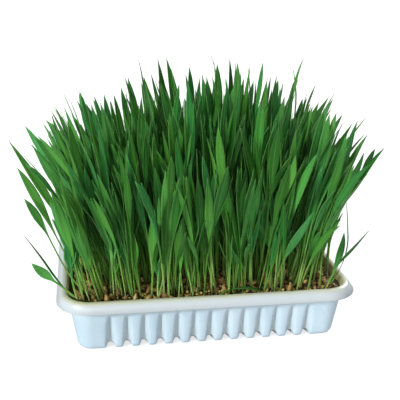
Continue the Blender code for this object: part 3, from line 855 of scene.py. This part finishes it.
def shade_painted_by_place(tree, where, shade_share, colour):
    """Painted shade on darker leaves (less at the left end), on the tops and deep inside the bed."""
    x, y, z = node(tree, "SeparateXYZ", {0: where}).outputs
    # Painted shade on the darker leaves, with less of it at the left end, which is painted lighter.
    painted_shade = span(tree, shade_share, 0.18, 1.0, 1.0, 0.0)
    painted_shade = times(tree, painted_shade, span(tree, x, *PAINTED_LIGHT_LEFT_END, 0.45, 1.0))
    colour = blend(tree, painted_shade, colour, PAINTED_SHADE_LEAF, "MULTIPLY")
    # Painted shade on the tops.
    colour = blend(tree, span(tree, z, *SHADED_TOP_HEIGHTS, 0.0, 0.58), colour, PAINTED_SHADE_TOPS, "MULTIPLY")
    # Painted shade deep inside the bed, low down, where less light falls.
    from_ends = maths(tree, "SUBTRACT", TRAY_LENGTH / 2, maths(tree, "ABSOLUTE", x))
    from_sides = maths(tree, "SUBTRACT", TRAY_WIDTH / 2, maths(tree, "ABSOLUTE", y))
    inside = span(tree, maths(tree, "MINIMUM", from_ends, from_sides), *SHADE_INSIDE_DEPTHS)
    painted_inner_shade = times(tree, inside, span(tree, z, *SHADE_INSIDE_HEIGHTS, 0.94, 0.0))
    return blend(tree, painted_inner_shade, colour, PAINTED_SHADE_INSIDE, "MULTIPLY")


def leaf_finish():
    material, tree, shader, where = finish_named("green_leaf")
    uv = node(tree, "SeparateXYZ", {0: node(tree, "TexCoord").outputs["UV"]})
    across, along = uv.outputs[0], uv.outputs[1]
    tones_and_shade = node(tree, "SeparateXYZ", {0: node(tree, "UVMap", uv_map="tone").outputs[0]})
    uneven = cloud(tree, where, 60, 3)
    colour = grown_green(tree, along, tones_and_shade.outputs[0], uneven)
    colour = shade_painted_by_place(tree, where, tones_and_shade.outputs[1], colour)
    veins = maths(tree, "SINE", times(tree, across, 2 * math.pi * VEIN_COUNT))
    colour = blend(tree, span(tree, veins, -1, 1, 0.0, 0.22), colour, VEIN)
    off_rib = maths(tree, "ABSOLUTE", maths(tree, "SUBTRACT", across, 0.5))
    rib = times(tree, span(tree, off_rib, 0.0, 0.05, 1, 0), span(tree, along, 0.3, 0.5, 0, 0.45))
    edge = span(tree, off_rib, 0.46, 0.5, 0, 0.35)
    colour = blend(tree, maths(tree, "MAXIMUM", rib, edge), colour, MIDDLE_RIB)
    tree.links.new(colour, shader.inputs["Base Color"])
    tree.links.new(span(tree, uneven, 0.3, 0.7, 0.38, 0.52), shader.inputs["Roughness"])
    shader.inputs["Specular IOR Level"].default_value = 0.26
    bump = node(tree, "Bump", {"Height": veins, "Strength": 0.35, "Distance": 0.0001})
    tree.links.new(bump.outputs[0], shader.inputs["Normal"])
    through = node(tree, "BsdfTranslucent", {"Color": blend(tree, 0.45, colour, SEEN_THROUGH)})
    mixed = node(tree, "MixShader", {0: 0.13, 1: shader.outputs[0], 2: through.outputs[0]})
    tree.links.new(mixed.outputs[0], tree.nodes["Material Output"].inputs["Surface"])
    return material


# %% [markdown]
# All the leaves of a tuft go into one object, which stands for that tuft. They are drawn as surfaces
# without a thickness, and a Solidify modifier then gives them that of a real leaf.

# %% Make the seedlings
leaf_green = leaf_finish()
LEAF_THICKNESS = 0.28 * MM


def leaf_piece(name, leaves, stands_for=()):
    """One object of many leaves."""
    shape = bmesh.new()
    uv_layer = shape.loops.layers.uv.new("UVMap")
    tone_and_shade_layer = shape.loops.layers.uv.new("tone")
    for leaf in leaves:
        add_blade(shape, leaf, uv_layer, tone_and_shade_layer)
    made = piece(shape, name, [leaf_green], stands_for)
    thick = made.modifiers.new("Leaf thickness", "SOLIDIFY")
    thick.thickness = LEAF_THICKNESS
    thick.offset = 0


leaf_count = 0
for name in TUFTS:
    leaves = tuft_leaves(name)
    leaf_count += len(leaves)
    leaf_piece(name.replace("tuft", "seedlings"), leaves, [name])
print("planted", leaf_count, "leaves")


# %% [markdown]
# A few leaves leave the bed in ways that no rule gives, and they are what makes a tray of grass look
# like this one: a blade that has bent over and lies along the front edge, a pair that leans out over
# the front left corner, some at either end, and the tall tips that stand up along the back. Each is
# given by four places along it. A leaf seen edge on is turned a quarter round.

# %% Leaves that stray
# Root, two places along the leaf and its tip, in mm. Then its width, where it opens, and its turn.
STRAYS = (
    ((1, -58, 30), (12, -59.5, 36), (24, -60, 36.5), (34.5, -59, 31.5), 2.4, 0.30, 0.9),
    ((-79, -54, 30), (-91.5, -56, 43.5), (-101, -56, 59.5), (-111, -56, 76), 2.6, 0.20, 1.3),
    ((-79, -54, 30), (-92, -56, 43.5), (-99.5, -56.5, 50.5), (-108, -57, 59), 5.6, 0.50, 0.0),
    ((-76, -40, 30), (-91, -37, 50), (-100.5, -35, 71.5), (-111.6, -35, 92), 5.0, 0.66, 0.2),
    ((-77, -30, 30), (-92, -30, 60), (-103.4, -30, 87.5), (-115, -30, 110), 5.4, 0.45, 0.0),
    ((-76, -8, 30), (-88, -10, 61), (-101.5, -10, 88), (-121, -10, 122), 5.4, 0.42, 0.3),
    ((76, -52, 30), (85, -51, 46), (93, -50, 55), (104, -49, 67), 4.6, 0.30, 0.5),
    ((79, -50, 30), (86.5, -53, 47), (88, -54, 64), (84.5, -55, 89), 5.2, 0.25, 1.1),
    ((74, -57, 30), (80.5, -55, 43), (84, -54, 56), (85.5, -54, 68.5), 5.0, 0.30, 0.1),
    ((78, -10, 30), (99.6, -8, 66.7), (112, -8, 93.5), (121, -8, 110), 5.0, 0.70, 0.2),
    ((79, -16, 30), (95, -14, 68), (103, -14, 88), (110.8, -14, 110), 5.6, 0.45, 0.0),
    ((-50, 20, 30), (-54, 20, 76), (-60, 20, 113), (-67, 20, 143.5), 4.6, 0.48, 0.2),
    ((-48, 25, 30), (-51.5, 25, 76), (-56, 25, 113), (-60.4, 25, 143.6), 5.4, 0.48, 0.0),
    ((-42, 25, 30), (-44.5, 25, 76), (-48.5, 25, 113), (-54, 25, 143.5), 5.0, 0.46, 0.3),
    ((-36, 30, 30), (-38.5, 30, 77), (-43, 30, 115), (-48.7, 30, 147.3), 5.8, 0.48, 0.1),
    ((-28, 30, 30), (-28.5, 30, 85), (-31, 30, 128), (-37, 30, 165.5), 3.4, 0.50, 1.0),
    ((-31, 30, 30), (-32.5, 30, 78), (-37.5, 30, 118), (-44, 30, 154), 6.4, 0.48, 0.1),
    ((-7, 30, 30), (-8, 30, 86), (-11.5, 30, 130), (-18, 30, 167), 5.8, 0.45, 0.2),
    ((17, 35, 30), (18.5, 35, 85), (19.2, 35, 128), (18, 35, 162), 7.0, 0.48, 0.0),
    ((24, 40, 30), (24, 40, 88), (21.5, 40, 135), (14.4, 40, 167), 2.8, 0.50, 1.1),
    ((28.5, 40, 30), (29.3, 40, 86), (29.6, 40, 128), (27.7, 40, 165), 5.0, 0.48, 0.4),
    ((31, 40, 30), (31, 40, 84), (31, 40, 125), (32, 40, 162), 4.0, 0.50, 0.8),
    ((48, 45, 30), (47.8, 45, 84), (46, 45, 124), (42.4, 45, 158), 3.4, 0.52, 1.0),
    ((76, 45, 30), (77, 45, 83), (79, 45, 125), (75.6, 45, 158), 3.6, 0.52, 0.9),
)


def stray(places, width, opens, turn):
    line = [Vector(place) * MM for place in places]
    leaf = seedling(line, Vector((math.cos(turn), math.sin(turn), 0)), width * MM, shift=0.0)
    leaf.update(opens=opens, widest=opens + (1 - opens) * 0.55, twist=0.4, droop=0.0)
    return leaf


strays = [stray(places, width, opens, turn) for *places, width, opens, turn in STRAYS]
leaf_piece("stray_leaves", strays)


# %% [markdown]
# The object stands on a plain floor under soft light. Of the four suns, a broad low one from the
# front left makes the gentle shade of the ribs, and a weaker one fills in from the front. A wide one
# behind on the right lights the far sides and shines through the leaf tips, and a faint one stands
# overhead. The floor and the surroundings are white to the camera alone, and throw less light than
# that on the object, so that its shadows stay deep.

# %% Floor and light
FLOOR_SIZE, FLOOR_LEVEL = 12, -0.2 * MM
FLOOR_GREY, FLOOR_GLOW, QUIET_GREY = 0.46, 0.66, 0.55
SURROUNDINGS = (0.93, 0.97, 1.0, 1)
AROUND_OBJECT, AROUND_CAMERA = 0.21, 1.1


def floor_finish():
    """White to the camera, and a quiet grey to the object."""
    material, tree, shader, _ = finish_named("floor")
    shader.inputs["Base Color"].default_value = (FLOOR_GREY, FLOOR_GREY, FLOOR_GREY, 1)
    shader.inputs["Roughness"].default_value = 0.9
    shader.inputs["Emission Color"].default_value = (1, 1, 1, 1)
    shader.inputs["Emission Strength"].default_value = FLOOR_GLOW
    seen = node(tree, "LightPath").outputs["Is Camera Ray"]
    quiet = node(tree, "BsdfDiffuse", {"Color": (QUIET_GREY, QUIET_GREY, QUIET_GREY, 1)})
    shown = node(tree, "MixShader", {0: seen, 1: quiet.outputs[0], 2: shader.outputs[0]})
    tree.links.new(shown.outputs[0], tree.nodes["Material Output"].inputs["Surface"])
    return material


def studio():
    shape = bmesh.new()
    bmesh.ops.create_grid(shape, x_segments=1, y_segments=1, size=FLOOR_SIZE)
    bmesh.ops.translate(shape, vec=(0, 0, FLOOR_LEVEL), verts=shape.verts)
    mesh = bpy.data.meshes.new("floor")
    shape.to_mesh(mesh)
    shape.free()
    mesh.materials.append(floor_finish())
    floor = bpy.data.objects.new("floor", mesh)
    bpy.context.scene.collection.objects.link(floor)
    world = bpy.data.worlds.new("surroundings")
    world.use_nodes = True
    tree = world.node_tree
    seen = node(tree, "LightPath").outputs["Is Camera Ray"]
    background = tree.nodes["Background"]
    background.inputs["Color"].default_value = SURROUNDINGS
    strength = span(tree, seen, 0.0, 1.0, AROUND_OBJECT, AROUND_CAMERA)
    tree.links.new(strength, background.inputs["Strength"])
    bpy.context.scene.world = world
    bpy.context.scene.view_settings.view_transform = "Standard"


def sun(name, energy, angle, azimuth, elevation):
    """A sun that shines from that direction: azimuth 0 is from the front, 90 from the right."""
    lamp = bpy.data.lights.new(name, "SUN")
    lamp.energy = energy
    lamp.angle = math.radians(angle)
    made = bpy.data.objects.new(name, lamp)
    turn, rise = math.radians(azimuth), math.radians(elevation)
    towards = Vector((math.sin(turn) * math.cos(rise), -math.cos(turn) * math.cos(rise), math.sin(rise)))
    made.rotation_euler = towards.to_track_quat("Z", "Y").to_euler()
    bpy.context.scene.collection.objects.link(made)


studio()
sun("key_light", energy=3.1, angle=12, azimuth=-53, elevation=22)
sun("front_light", energy=0.95, angle=24, azimuth=-10, elevation=15)
sun("back_light", energy=2.7, angle=30, azimuth=132, elevation=32)
sun("top_light", energy=0.5, angle=60, azimuth=20, elevation=80)


# %% [markdown]
# The camera looks down on the tray's front from a little to its left. Its place, its turns and its
# lens were fitted to the rim, the base and the ribs of the tray.

# %% Camera
CAMERA_PLACE = (-76.24 * MM, -449.85 * MM, 230.32 * MM)
CAMERA_YAW, CAMERA_PITCH, CAMERA_ROLL = 0.172, 0.328, 0.021
CAMERA_LENS = 63.74


def camera():
    """Yaw turns the view right from straight ahead, pitch tips it down, and roll tilts the horizon."""
    ahead = Vector((math.sin(CAMERA_YAW) * math.cos(CAMERA_PITCH),
                    math.cos(CAMERA_YAW) * math.cos(CAMERA_PITCH), -math.sin(CAMERA_PITCH)))
    level = Vector((math.cos(CAMERA_YAW), -math.sin(CAMERA_YAW), 0))
    upright = level.cross(ahead)
    right = level * math.cos(CAMERA_ROLL) + upright * math.sin(CAMERA_ROLL)
    up = upright * math.cos(CAMERA_ROLL) - level * math.sin(CAMERA_ROLL)
    data = bpy.data.cameras.new("camera")
    data.sensor_width = 36
    data.lens = CAMERA_LENS
    made = bpy.data.objects.new("camera", data)
    turned = Matrix((right, up, -ahead)).transposed().to_4x4()
    made.matrix_world = Matrix.Translation(CAMERA_PLACE) @ turned
    bpy.context.scene.collection.objects.link(made)
    bpy.context.scene.camera = made


camera()
